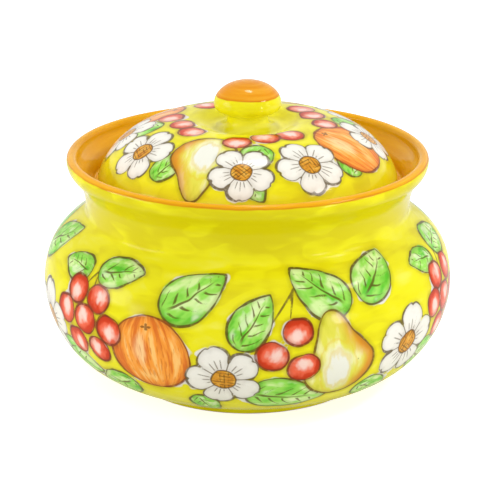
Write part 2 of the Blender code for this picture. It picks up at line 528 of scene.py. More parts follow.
class Brush:
    """Lays coats of painting over a colour in a material's node tree. Sizes are in millimetres."""

    def __init__(self, tree: bpy.types.NodeTree, colour: object) -> None:
        """Start on a colour.

        Args:
            tree: The material's node tree.
            colour: Socket, node or value of the colour that is painted over.
        """
        self.tree = tree
        self.colour = colour

    def take(self, coat: str) -> None:
        """Read where the motifs of a coat are.

        Args:
            coat: Name of the coat's attributes.
        """
        form = add(self.tree, "ShaderNodeAttribute", attribute_name=coat).outputs["Vector"]
        self.along, self.across, self.edge = add(self.tree, "ShaderNodeSeparateXYZ", {0: form}).outputs
        self.seed = add(self.tree, "ShaderNodeAttribute", attribute_name=coat + "_seed").outputs["Fac"]
        self.own = chain(self.tree, self.seed, ("*", SEED_SPREAD))
        self.here = chain(self.tree, self.along, ("JOIN", self.across, self.own))
        self.inside = chain(self.tree, self.edge, ("SMOOTH", 0.3, -0.3))

    def patches(self, across: float, along: float | None = None, detail: float = 2.0,
                shift: float = 0.0) -> object:
        """Make soft uneven patches on the motif.

        Args:
            across: Size of a patch across the motif.
            along: Its size along the motif, if that differs.
            detail: Octaves of finer patches.
            shift: Distance to another, unlike part of the pattern.

        Returns:
            A value about 0.5, mostly between 0.25 and 0.75.
        """
        return mottle(self.tree, self.here, (along or across, across, 1.0), detail, (shift,) * 3)

    def sway(self, amount: float, *patch: float, **more: float) -> object:
        """Make a value that wanders about 0 over the motif.

        Args:
            amount: How far it wanders, as a multiple of the patches' own range.
            *patch: Sizes of the patches, as patches() takes them.
            **more: Their detail and shift.

        Returns:
            The wandering value.
        """
        return chain(self.tree, self.patches(*patch, **more), ("-", 0.5), ("*", amount))

    def mask(self, cover: object, *edges: tuple) -> object:
        """Fade a cover out.

        Args:
            cover: Share of a colour that takes, from 0 to 1.
            *edges: A value each, the value at which the cover is gone, and that at which it is whole.

        Returns:
            The faded cover.
        """
        for value, gone, whole in edges:
            cover = chain(self.tree, value, ("SMOOTH", gone, whole), ("*", cover))
        return cover

    def chance(self, number: object, side: object = 0.0) -> object:
        """Draw lots for one stroke of a motif.

        Args:
            number: Number of the stroke.
            side: Side of the motif that the stroke is on.

        Returns:
            A value from 0 to 1, the same all over the stroke.
        """
        return chain(self.tree, number, ("JOIN", side, self.seed), ("CHANCE",))

    def lay(self, paint: object, cover: object, within: bool = True) -> None:
        """Lay a colour over what is there.

        Args:
            paint: The colour, as a hex value or a node.
            cover: Share of it that takes, from 0 to 1.
            within: Whether it stays inside the motif.
        """
        if within:
            cover = chain(self.tree, cover, ("*", self.inside))
        paint = hue(paint) if isinstance(paint, str) else paint
        self.colour = chain(self.tree, self.colour, ("PAINT", paint, cover))

    def blend(self, wash: Wash, tone: object) -> object:
        """Mix the colour of a wash.

        Args:
            wash: Its colours.
            tone: Value from 0, thin, to 1, pooled.

        Returns:
            The mixed colour.
        """
        upper = chain(self.tree, tone, ("SMOOTH", 0.5, 1.0))
        lower = chain(self.tree, tone, ("SMOOTH", 0.0, 0.5))
        return chain(self.tree, hue(wash.thin), ("PAINT", hue(wash.middle), lower),
                     ("PAINT", hue(wash.pooled), upper))

    def fill(self, wash: Wash, tone: object, reach: float = 0.2) -> None:
        """Fill the motif with a wash whose edge wanders about the outline.

        Args:
            wash: Its colours.
            tone: Value from 0, thin, to 1, pooled.
            reach: How far the wash runs past the outline.
        """
        ragged = chain(self.tree, self.sway(3.0, 9.0, shift=3.0), ("+", self.edge), ("-", reach),
                       ("SMOOTH", 0.45, -0.45))
        self.lay(self.blend(wash, tone), ragged, within=False)

    def ink(self, distance: object, width: object, colour: str, cover: object = 1.0,
            within: bool = True) -> None:
        """Draw a line with a fine brush.

        Args:
            distance: Distance from the middle of the line.
            width: Half the line's width.
            colour: Hex colour of the ink.
            cover: Share of the ink that takes, from 0 to 1.
            within: Whether the line stays inside the motif.
        """
        line = chain(self.tree, distance, ("ABSOLUTE",), ("-", width), ("SMOOTH", 0.32, -0.22),
                     ("*", cover))
        self.lay(colour, line, within)

    def outline(self, colour: str, thin: float, thick: float, cover: float = 0.9,
                halo: float = 0.25) -> None:
        """Draw the outline, pressed harder here and there, with the soft stain that it leaves.

        Args:
            colour: Hex colour of the ink.
            thin: Half the width of the line where the brush is light.
            thick: Half its width where the brush is pressed.
            cover: Share of the ink that takes where it is dark.
            halo: Strength of the stain round the line.
        """
        wobble = chain(self.tree, self.sway(2.2, 13.0, shift=11.0, detail=1.0), ("+", self.edge))
        press = chain(self.tree, self.patches(17.0, shift=23.0, detail=1.0), ("SMOOTH", 0.36, 0.64))
        width = chain(self.tree, press, ("*", thick - thin), ("+", thin))
        stain = chain(self.tree, wobble, ("ABSOLUTE",), ("SMOOTH", 3.4, 0.4), ("*", halo))
        self.lay(colour, stain, within=False)
        strength = chain(self.tree, self.patches(3.0, shift=31.0), ("SMOOTH", 0.2, 0.55), ("*", 0.45),
                         ("+", 0.55), ("*", cover))
        self.ink(wobble, width, colour, strength, within=False)


@dataclass(frozen=True)
class Motif:
    """Something painted on the glaze. Sizes are in millimetres, at a size of 1."""

    def ring(self) -> np.ndarray:
        """Return the corners of the closed outline, with the motif's length along x."""
        raise NotImplementedError

    def locate(self, points: np.ndarray, place: Place) -> tuple[np.ndarray, np.ndarray]:
        """Find points in the motif's own measure.

        Args:
            points: Places on the map, from the motif's place.
            place: Where the motif goes.

        Returns:
            Distance along and across the motif, and the distance outside its outline on the map.
        """
        local = place.measure(points)
        if place.bend:
            radius = 1.0 / place.bend
            side = math.copysign(1.0, radius)
            swing = np.arctan2(side * local[:, 0], side * (radius - local[:, 1]))
            away = radius - side * np.hypot(local[:, 0], radius - local[:, 1])
            local = np.stack([swing * radius, away], axis=1)
        return local, outside_by(local, self.ring()) * place.size

    def paint(self, brush: Brush) -> None:
        """Paint every motif of the coat that the brush has taken."""
        raise NotImplementedError


def outside_by(points: np.ndarray, ring: np.ndarray) -> np.ndarray:
    """Measure how far points lie outside a closed outline.

    Args:
        points: Points to measure.
        ring: Corners of the outline.

    Returns:
        Distance to the outline, below 0 inside it.
    """
    nearest = np.full(len(points), np.inf)
    inside = np.zeros(len(points), bool)
    for a, b in zip(ring, np.roll(ring, -1, axis=0)):
        side = b - a
        share = np.clip((points - a) @ side / (side @ side), 0.0, 1.0)
        nearest = np.minimum(nearest, np.hypot(*(points - a - share[:, None] * side).T))
        spans = (points[:, 1] < a[1]) != (points[:, 1] < b[1])
        if side[1]:
            inside ^= spans & (points[:, 0] < a[0] + (points[:, 1] - a[1]) * side[0] / side[1])
    return np.where(inside, -nearest, nearest)


@dataclass(frozen=True)
class Leaf(Motif):
    """A pointed leaf with a midrib and short side veins.

    Attributes:
        widest: Where along the leaf it is widest, as a share of its length.
        slim_half: Width of its slimmer half, as a share of the other's.
        vein_gap: Distance between side veins.
    """

    length: float = 44.0
    width: float = 30.0
    widest: float = 0.38
    slim_half: float = 0.88
    vein_gap: float = 7.6
    green: Wash = Wash("#D6F0A0", "#98DD55", "#5FC22C")
    wet: str = "#EEF5CF"
    ink: str = "#5A4A16"

    def ring(self) -> np.ndarray:
        """Draw an outline that is round at the stalk and drawn out at the tip.

        Returns:
            Corners of the closed outline.
        """
        u = (1 - np.cos(np.linspace(0.0, math.pi, 28))) / 2
        half = self.width / 2 * (u / self.widest) ** 0.5 * ((1 - u) / (1 - self.widest)) ** 0.84
        upper = np.stack([u * self.length, half], axis=1)
        lower = np.stack([u * self.length, -self.slim_half * half], axis=1)[::-1]
        return np.concatenate([upper, lower[1:-1]])

    def paint(self, brush: Brush) -> None:
        """Wash the leaf green, then draw its veins and outline.

        Args:
            brush: Brush that has taken the coat.
        """
        tree = brush.tree
        side = chain(tree, brush.across, ("ABSOLUTE",))
        base = chain(tree, brush.along, ("SMOOTH", self.length, -6.0), ("*", 0.35))
        brush.fill(self.green, chain(tree, brush.sway(2.6, 7.0, 14.0), ("+", 0.26), ("+", base)))
        thin = chain(tree, brush.patches(10.0, 13.0, shift=41.0), ("SMOOTH", 0.54, 0.7), ("*", 0.6))
        brush.lay(self.wet, brush.mask(thin, (brush.edge, -0.8, -2.5)))

        # The midrib starts past the stalk, stops short of the tip and grows thin towards it
        wander = chain(tree, brush.sway(5.0, 14.0, shift=53.0, detail=1.0), ("+", brush.across))
        rib = chain(tree, brush.along, ("SMOOTH", 3.0, 9.0), ("*", 0.85))
        rib = brush.mask(rib, (brush.along, 0.86 * self.length, 0.7 * self.length))
        width = chain(tree, brush.along, ("SMOOTH", 34.0, 4.0), ("*", 0.5), ("+", 0.28))
        brush.ink(wander, width, self.ink, rib)

        # Side veins bend towards the tip, and some are left out or cut short
        half = chain(tree, brush.across, ("GREATER_THAN", 0.0), ("*", 0.37))
        drift = brush.sway(6.0, 11.0, shift=61.0, detail=1.0)
        swept = chain(tree, side, ("POWER", 2.0), ("*", -0.045), ("+", drift))
        phase = chain(tree, side, ("*", -0.5), ("+", swept), ("+", brush.along), ("/", self.vein_gap),
                      ("+", half))
        chance = brush.chance(chain(tree, phase, ("FLOOR",)), half)
        gap = chain(tree, phase, ("FRACT",), ("-", 0.5), ("*", 0.8 * self.vein_gap))
        reach = chain(tree, chance, ("*", 7.5), ("+", 3.4))
        cover = chain(tree, side, ("-", reach), ("SMOOTH", 0.6, -0.6), ("*", 0.85))
        cover = brush.mask(cover, (side, 0.8, 2.2), (brush.edge, -1.2, -2.6))
        cover = chain(tree, chance, ("GREATER_THAN", 0.2), ("*", cover))
        brush.ink(gap, chain(tree, side, ("SMOOTH", 10.0, 1.0), ("*", 0.42), ("+", 0.2)), self.ink, cover)
        brush.outline(self.ink, 0.3, 0.8, cover=0.92)


@dataclass(frozen=True)
class Pear(Motif):
    """A yellow pear with a warm flank, standing on its round end."""

    length: float = 58.0
    width: float = 46.0
    dot_gap: float = 6.5
    skin: Wash = Wash("#EFEBA6", "#E0DB4E", "#CFCC34")
    flank: str = "#D9881A"
    glow: str = "#EBEBE4"
    lick: str = "#E0C42E"
    dots: str = "#6E5A14"
    ink: str = "#6A4A12"

    def ring(self) -> np.ndarray:
        """Draw an outline with a full belly, hollow shoulders and a rounded neck.

        Returns:
            Corners of the closed outline.
        """
        t = np.linspace(0.0, math.tau, 72, endpoint=False)
        along = (1 - np.cos(t)) / 2
        rise = np.clip((along - 0.32) / 0.48, 0.0, 1.0)
        across = np.sin(t) * (1 - 0.46 * rise ** 2 * (3 - 2 * rise))
        return np.stack([along * self.length, across * self.width / 2], axis=1)

    def paint(self, brush: Brush) -> None:
        """Wash the skin, warm one flank, lift a light and dot the skin.

        Args:
            brush: Brush that has taken the coat.
        """
        tree = brush.tree
        brush.fill(self.skin, chain(tree, brush.sway(2.4, 7.0, 22.0, 3.0), ("+", 0.45)))
        rim = chain(tree, brush.sway(9.0, 8.0, 20.0), ("+", brush.edge))
        warm = brush.mask(chain(tree, rim, ("SMOOTH", -11.0, -1.5)), (brush.across, 3.0, -15.0))
        brush.lay(self.flank, chain(tree, warm, ("*", 0.92)))

        # The light is lifted out of an oval on the belly, in rough rings
        spread = squares(tree, chain(tree, brush.along, ("-", 0.36 * self.length), ("/", 15.0)),
                         chain(tree, brush.across, ("-", 1.5), ("/", 8.5)))
        spread = chain(tree, brush.sway(1.8, 5.0, 16.0, 3.0, 7.0), ("+", spread))
        brush.lay(self.glow, chain(tree, spread, ("SMOOTH", 1.5, 0.35), ("*", 0.9)))
        for ring in (0.75, 1.9):
            away = chain(tree, spread, ("-", ring), ("ABSOLUTE",))
            brush.lay(self.lick, chain(tree, away, ("SMOOTH", 0.3, 0.05), ("*", 0.4)))

        # The skin is dotted in patches along the edge
        cell = add(tree, "ShaderNodeTexVoronoi", {
            "Vector": brush.here, "Scale": 1 / self.dot_gap, "Randomness": 1.0})
        dot = chain(tree, cell, ("*", self.dot_gap), ("SMOOTH", 0.75, 0.3))
        band = chain(tree, brush.edge, ("+", 6.5), ("ABSOLUTE",), ("SMOOTH", 4.5, 2.5), ("*", dot))
        some = brush.patches(16.0, shift=19.0, detail=0.0)
        brush.lay(self.dots, brush.mask(band, (some, 0.48, 0.56)))
        brush.outline(self.ink, 0.34, 0.85, halo=0.3)


@dataclass(frozen=True)
class Orange(Motif):
    """A round orange with strokes that follow its skin from pole to pole."""

    radius: float = 23.0
    skin: Wash = Wash("#FBC471", "#F49C38", "#DB7325")
    light: str = "#FBD9A0"
    groove: str = "#C4601C"
    navel: str = "#7A4A18"
    ink: str = "#7A3C10"

    def ring(self) -> np.ndarray:
        """Draw a slightly flattened circle.

        Returns:
            Corners of the closed outline.
        """
        t = np.linspace(0.0, math.tau, 56, endpoint=False)
        return np.stack([0.95 * self.radius * np.cos(t), self.radius * np.sin(t)], axis=1)

    def paint(self, brush: Brush) -> None:
        """Wash the skin with curved strokes, lift a light and draw the navel.

        Args:
            brush: Brush that has taken the coat.
        """
        tree = brush.tree
        girth = chain(tree, brush.along, ("/", 1.08 * self.radius), ("POWER", 2.0), ("*", -1.0),
                      ("+", 1.0), ("MAXIMUM", 0.05), ("SQRT",))
        meridian = chain(tree, brush.across, ("/", girth))
        strokes = chain(tree, meridian, ("JOIN", chain(tree, brush.along, ("*", 0.16)), brush.own))
        streak = chain(tree, strokes, ("PATCHES", 0.33, 3.0), ("-", 0.5), ("*", 2.6), ("+", 0.42))
        brush.fill(self.skin, chain(tree, brush.edge, ("SMOOTH", -9.0, 0.0), ("*", 0.35), ("+", streak)))
        light = squares(tree, chain(tree, brush.along, ("-", 4.0), ("/", 11.0)),
                        chain(tree, brush.across, ("-", 5.0), ("/", 5.5)))
        brush.lay(self.light, chain(tree, streak, ("+", light), ("SMOOTH", 1.7, 0.5), ("*", 0.7)))
        fine = chain(tree, strokes, ("PATCHES", 0.85, 1.0), ("SMOOTH", 0.6, 0.68), ("*", 0.5))
        brush.lay(self.groove, brush.mask(fine, (brush.edge, -0.5, -2.5)))

        # The navel is a small cross near the far end, drawn out four ways
        reach = chain(tree, brush.along, ("-", 0.7 * self.radius), ("*", 1.5))
        way = chain(tree, brush.across, ("ARCTAN2", reach), ("*", 2.0), ("COSINE",), ("ABSOLUTE",))
        away = chain(tree, squares(tree, reach, brush.across), ("SQRT",))
        navel = chain(tree, brush.sway(3.0, 3.0, shift=71.0), ("+", away))
        navel = chain(tree, way, ("*", -2.4), ("+", navel), ("SMOOTH", 1.0, 0.2), ("*", 0.8))
        brush.lay(self.navel, navel)
        brush.outline(self.ink, 0.34, 0.8, halo=0.25)


@dataclass(frozen=True)
class Cherry(Motif):
    """A coral cherry, darker on one side, with a light lifted out of the wet colour."""

    radius: float = 8.9
    skin: Wash = Wash("#F6C0AC", "#EA6544", "#CF3A14")
    light: str = "#F7D6CA"
    ink: str = "#74300F"

    def ring(self) -> np.ndarray:
        """Draw a circle with a shallow dip where the stalk goes in.

        Returns:
            Corners of the closed outline.
        """
        t = np.linspace(0.0, math.tau, 36, endpoint=False)
        reach = self.radius * (1.0 - 0.10 * np.exp(-(np.minimum(t, math.tau - t) / 0.4) ** 2))
        return np.stack([reach * np.cos(t), 1.04 * reach * np.sin(t)], axis=1)

    def paint(self, brush: Brush) -> None:
        """Wash the cherry, lift the light and outline it.

        Args:
            brush: Brush that has taken the coat.
        """
        tree = brush.tree

        # Each cherry has its light on a side of its own
        way = chain(tree, brush.seed, ("*", 40.0))
        along, across = chain(tree, way, ("COSINE",)), chain(tree, way, ("SINE",))
        lean = chain(tree, brush.along, ("*", along))
        lean = chain(tree, brush.across, ("*", across), ("+", lean), ("*", 0.055))
        tone = chain(tree, brush.sway(1.5, 6.0, 8.0), ("+", 0.3), ("+", lean))
        tone = chain(tree, brush.edge, ("SMOOTH", -6.0, -0.4), ("*", 0.5), ("+", tone))
        brush.fill(self.skin, tone, 0.1)
        spot = squares(tree, chain(tree, along, ("*", 1.8), ("+", brush.along), ("/", 4.4)),
                       chain(tree, across, ("*", 1.8), ("+", brush.across), ("/", 3.2)))
        spot = chain(tree, brush.sway(3.2, 4.0, 6.0, shift=9.0), ("+", spot))
        brush.lay(self.light, chain(tree, spot, ("SMOOTH", 1.5, 0.0), ("*", 0.85)))
        brush.outline(self.ink, 0.32, 0.8, halo=0.3)


@dataclass(frozen=True)
class Blossom(Motif):
    """A white five-petalled blossom with an amber, cross-hatched middle."""

    radius: float = 22.0
    petals: int = 5
    nick: float = 0.07
    eye: float = 6.8
    petal: Wash = Wash("#EEEBE0", "#E7E3D8", "#D5CFC4")
    amber: Wash = Wash("#E8B650", "#D8962C", "#B4701C")
    weave: str = "#5A3D12"
    rim: str = "#5F4515"
    ink: str = "#5E4E2A"

    def ring(self) -> np.ndarray:
        """Draw round petals, each with a nick at its tip.

        Returns:
            Corners of the closed outline.
        """
        t = np.linspace(0.0, math.tau, 120, endpoint=False)
        lobe = np.abs(np.cos(self.petals / 2 * t))
        nick = self.nick * np.exp(-((1 - lobe) / 0.006) ** 2) * (lobe > 0.9)
        reach = self.radius * (0.56 + 0.44 * lobe ** 0.42 - nick)
        return np.stack([reach * np.cos(t), reach * np.sin(t)], axis=1)

    def paint(self, brush: Brush) -> None:
        """Leave the petals white, then draw strokes, the eye and the outline.

        Args:
            brush: Brush that has taken the coat.
        """
        tree = brush.tree
        away = chain(tree, squares(tree, brush.along, brush.across), ("SQRT",))
        tone = chain(tree, away, ("SMOOTH", 15.0, 6.0), ("*", 0.7))
        tone = chain(tree, brush.patches(5.0), ("-", 0.45), ("*", 1.2), ("+", tone))
        brush.fill(self.petal, tone, 0.0)

        # Lines part the petals near the eye
        petal = math.tau / self.petals
        share = chain(tree, brush.across, ("ARCTAN2", brush.along), ("/", petal))
        side = chain(tree, share, ("FRACT",), ("-", 0.5), ("ABSOLUTE",))
        parting = chain(tree, side, ("*", petal), ("SINE",), ("*", away))
        cover = chain(tree, away, ("SMOOTH", 0.62 * self.radius, 0.55 * self.radius), ("*", 0.8))
        brush.ink(parting, 0.3, self.ink, cover)

        # Five short strokes fan out on each petal, each of a length of its own
        fan = chain(tree, share, ("*", 5.0), ("+", 0.5))
        chance = brush.chance(chain(tree, fan, ("FLOOR",)))
        stroke = chain(tree, fan, ("FRACT",), ("-", 0.5), ("*", petal / 5), ("*", away))
        reach = chain(tree, chance, ("*", 5.5), ("+", self.eye + 2.6))
        cover = chain(tree, away, ("-", reach), ("SMOOTH", 0.8, -0.8), ("*", 0.75))
        cover = brush.mask(cover, (side, 0.1, 0.2), (away, self.eye + 0.4, self.eye + 1.6))
        brush.ink(stroke, 0.27, self.ink, cover)
        brush.outline(self.ink, 0.22, 0.85, cover=0.9, halo=0.16)

        disc = chain(tree, brush.sway(1.6, 6.0, shift=5.0), ("+", away), ("-", self.eye))
        tone = chain(tree, brush.sway(2.2, 4.0, shift=15.0), ("+", 0.5))
        brush.lay(brush.blend(self.amber, tone), chain(tree, disc, ("SMOOTH", 0.3, -0.3)))
        inside = chain(tree, disc, ("SMOOTH", 0.0, -0.5), ("*", 0.75))
        for slope in (1.0, -0.8):
            weave = chain(tree, brush.across, ("*", slope), ("+", brush.along), ("/", 3.0),
                          ("+", brush.seed), ("FRACT",), ("-", 0.5), ("*", 2.2))
            some = brush.patches(5.0, shift=25.0 + slope)
            brush.ink(weave, 0.28, self.weave, brush.mask(inside, (some, 0.42, 0.56)))
        brush.ink(disc, 0.42, self.rim, 0.85)


@dataclass(frozen=True)
class Stroke(Motif):
    """A single brushed line: the stalk of a fruit."""

    path: tuple = ((0.0, 0.0), (20.0, 0.0))
    strip: float = 3.0
    ink: str = "#6A5A1E"

    def locate(self, points: np.ndarray, place: Place) -> tuple[np.ndarray, np.ndarray]:
        """Find points along and across the line.

        Args:
            points: Places on the map, from the line's place.
            place: Where the line goes.

        Returns:
            Share of the line's length and distance across it, and the distance outside a strip
            round the line.
        """
        points = place.measure(points)
        path = np.array(self.path)
        lengths = lengths_along(path)
        local = np.zeros((len(points), 2))
        nearest = np.full(len(points), np.inf)
        for a, b, start in zip(path, path[1:], lengths):
            side = b - a
            length = math.hypot(*side)
            share = np.clip((points - a) @ side / length ** 2, 0.0, 1.0)
            gap = points - a - share[:, None] * side
            apart = np.hypot(*gap.T)
            sign = np.sign(side[0] * gap[:, 1] - side[1] * gap[:, 0])
            closer = apart < nearest
            nearest[closer] = apart[closer]
            local[closer, 0] = (start + share * length)[closer] / lengths[-1]
            local[closer, 1] = (sign * apart)[closer] * place.size
        return local, nearest * place.size - self.strip

    def paint(self, brush: Brush) -> None:
        """Draw the line, lighter towards its end.

        Args:
            brush: Brush that has taken the coat.
        """
        tree = brush.tree
        away = chain(tree, brush.across, ("ABSOLUTE",))
        away = chain(tree, brush.edge, ("+", 2.7), ("MAXIMUM", away))
        thin = chain(tree, brush.along, ("SMOOTH", 1.0, 0.5), ("*", 0.35), ("+", 0.25))
        dark = chain(tree, brush.patches(5.0, 0.2), ("SMOOTH", 0.25, 0.55), ("*", 0.3), ("+", 0.6))
        brush.ink(away, thin, self.ink, dark)


@dataclass
class Coat:
    """Motifs of one kind that are brushed on together, clear of each other."""

    name: str
    motif: Motif
    places: list[Place] = field(default_factory=list)


def fruit_coats(cherry: Cherry) -> dict[str, Coat]:
    """Start the coats that jar and lid share, in the order in which they are brushed on.

    Args:
        cherry: The cherry that is painted.

    Returns:
        The coats by their names, with no motif on them yet.
    """
    motifs = {"leaf_under": Leaf(), "leaf_over": Leaf(), "pears": Pear(), "oranges": Orange(),
              "cherry_under": cherry, "cherry_over": cherry, "blossoms": Blossom()}
    return {name: Coat(name, motif) for name, motif in motifs.items()}


def lay_out(mesh: bpy.types.Mesh, chart: Chart, coats: list[Coat], seed: int) -> None:
    """Write on a mesh where the motifs of each coat are.

    Each coat gets a vector attribute, with the distance along and across the nearest motif and
    the distance outside its outline, and a number that tells one motif from the next. The
    attribute "clearing" is the distance outside the nearest motif of all.

    Args:
        mesh: Mesh that gets the attributes.
        chart: Map of the mesh.
        coats: The coats of painting.
        seed: Seed of the numbers.
    """
    rng = np.random.default_rng(seed)
    clearing = np.full(len(mesh.vertices), FAR)
    for coat in coats:
        form = np.full((len(mesh.vertices), 3), FAR)
        number = np.zeros(len(mesh.vertices))
        for place in coat.places:
            apart = chart.flat - (place.x, place.y)
            if chart.girth:
                apart[:, 0] -= chart.girth * np.round(apart[:, 0] / chart.girth)
            near = np.flatnonzero(np.max(np.abs(apart), axis=1) < REACH * place.size)
            local, outside = coat.motif.locate(apart[near], place)
            outside = outside * chart.scale[near]
            better = outside < form[near, 2]
            chosen = near[better]
            form[chosen, :2] = local[better]
            form[chosen, 2] = outside[better]
            number[chosen] = rng.random()
        if not isinstance(coat.motif, Stroke):
            clearing = np.minimum(clearing, form[:, 2])
        keep(mesh, coat.name, form)
        keep(mesh, coat.name + "_seed", number)
    keep(mesh, "clearing", clearing)


# The glaze

class Band(Enum):
    """What covers a stretch of a section."""

    CLAY = "bare fired clay"
    LINING = "plain white glaze inside"
    GROUND = "painted yellow ground"
    ORANGE = "orange banding"


@dataclass(frozen=True)
class PaintedGlaze:
    """Painted tin glaze on earthenware: white glaze, watery oxide colours and a glassy top.

    Attributes:
        name: Name of the material.
        bands: Climb in millimetres at which each band starts, in order.
        coats: Coats of painting on the yellow ground.
        painted_shade: Where the yellow ground is painted darker as shade: climb of the middle, reach and
            strength.
        glassy: Least roughness of the fired glaze, and what a hazier patch adds.
        specular: Share of a bare glass's gloss. Oxides fired into the glaze dull it.
        dimple: Strength and depth in metres of the slow waver of the glaze.
    """

    name: str
    bands: tuple[tuple[float, Band], ...]
    coats: tuple[Coat, ...]
    painted_shade: tuple[tuple[float, float, float], ...] = ()
    white: str = "#EFEDE4"
    yellow: Wash = Wash("#EFE950", "#EAE216", "#D9CC0E")
    orange: Wash = Wash("#E8A428", "#E0900E", "#C87608")
    clay: Wash = Wash("#E8D6BE", "#DCC3A4", "#C9A985")
    lining: Wash = Wash("#F4F1E8", "#EEEADD", "#E2DCC8")
    glassy: tuple[float, float] = (0.05, 0.14)
    clay_roughness: float = 0.75
    ior: float = 1.5
    specular: float = 0.11
    dimple: tuple[float, float] = (0.25, 0.0006)

    def ground(self, brush: Brush, climb: object, soft: object, round_about: object,
               point: object) -> object:
        """Brush on the yellow ground, which leaves thin white gaps round the motifs.

        Args:
            brush: Brush that has the white glaze as its colour.
            climb: Climb along the section, in millimetres.
            soft: Soft patches of the glaze.
            round_about: Place by the two level axes and the climb, in millimetres.
            point: Place in millimetres.

        Returns:
            The colour of the ground.
        """
        tree = brush.tree
        fine = mottle(tree, round_about, (18, 18, 3.2))
        block = chain(tree, mottle(tree, round_about, (20, 20, 9), 0.0, (7.0, 3.0, 1.0)),
                      ("SMOOTH", 0.44, 0.54), ("*", 0.24))
        tone = chain(tree, fine, ("*", 0.2), ("+", soft), ("-", 0.6), ("*", 1.5), ("+", 0.36),
                     ("+", block))
        # Painted shade: the ground is darker about each of these climbs
        for middle, reach, strength in self.painted_shade:
            away = chain(tree, climb, ("-", middle), ("ABSOLUTE",))
            tone = chain(tree, away, ("SMOOTH", reach, 0.3 * reach), ("*", strength), ("+", tone))
        clearing = add(tree, "ShaderNodeAttribute", attribute_name="clearing").outputs["Fac"]
        near = chain(tree, clearing, ("SMOOTH", 7.0, 1.5), ("*", 0.12), ("+", tone))
        gap = chain(tree, mottle(tree, point, (17, 17, 17)), ("-", 0.56), ("*", 14.0))
        bare = chain(tree, clearing, ("-", gap), ("SMOOTH", 0.9, -0.2))
        return chain(tree, brush.blend(self.yellow, near), ("PAINT", brush.colour, bare))

    def build(self) -> bpy.types.Material:
        """Build the material.

        Returns:
            A material whose nodes read the mesh's climb and coats.
        """
        # Tin glaze on earthenware, painted in water with oxides before the firing. To the eye it is a
        # milky white under thin, streaky colour that gathers in places, below a wet and wavering gloss.
        # The lining is that white left bare, and faintly warm. The clay of the foot and of the lid's
        # seat has no glaze: a dry, matt, speckled buff.
        material = bpy.data.materials.new(self.name)
        tree = blank(material)
        point = add(tree, "ShaderNodeTexCoord").outputs["Object"]
        point = chain(tree, point, ("MAP", (1 / MM, 1 / MM, 1 / MM)))
        climb = add(tree, "ShaderNodeAttribute", attribute_name="climb").outputs["Fac"]
        spot = add(tree, "ShaderNodeSeparateXYZ", {0: point}).outputs
        round_about = chain(tree, spot[0], ("JOIN", spot[1], climb))
        soft = mottle(tree, round_about, (30, 30, 17))

        brush = Brush(tree, hue(self.white))
        brush.colour = self.ground(brush, climb, soft, round_about, point)
        for coat in self.coats:
            brush.take(coat.name)
            coat.motif.paint(brush)

        # The banding wheel leaves rings in the orange. The orange is darker at its lower edge: thicker
        # colour on the knob's cap, and on the jar's lip also painted shade of the lip's underside
        waver = chain(tree, mottle(tree, point, (15, 15, 15)), ("-", 0.5), ("*", 1.5), ("+", climb))
        start = next(start for start, band in self.bands if band is Band.ORANGE)
        edge_pool_and_shade = chain(tree, waver, ("SMOOTH", start + 2.2, start), ("*", 0.5), ("+", 0.4))
        rings = chain(tree, mottle(tree, round_about, (40, 40, 3)), ("-", 0.5), ("*", 1.4), ("+", edge_pool_and_shade))
        painted = {
            Band.GROUND: brush.colour,
            Band.ORANGE: brush.blend(self.orange, rings),
            Band.CLAY: brush.blend(self.clay, mottle(tree, point, (3, 3, 3), 4.0)),
            Band.LINING: brush.blend(self.lining, soft),
        }
        first = self.bands[0][1]
        colour, clay = painted[first], float(first is Band.CLAY)
        for start, band in self.bands[1:]:
            past = chain(tree, waver, ("SMOOTH", start - 0.35, start + 0.35))
            colour = chain(tree, colour, ("PAINT", painted[band], past))
            clay = chain(tree, past, ("BETWEEN", clay, float(band is Band.CLAY)))

        least, more = self.glassy
        haze = chain(tree, soft, ("*", more), ("+", least))
        rough = chain(tree, clay, ("BETWEEN", haze, self.clay_roughness))
        strength, depth = self.dimple
        bump = add(tree, "ShaderNodeBump", {
            "Strength": strength, "Distance": depth, "Height": mottle(tree, point, (9, 9, 9))})
        shader = add(tree, "ShaderNodeBsdfPrincipled", {
            "Base Color": colour, "Roughness": rough, "IOR": self.ior, "Specular IOR Level": self.specular,
            "Normal": bump})
        add(tree, "ShaderNodeOutputMaterial", {"Surface": shader})
        return material


# The pieces

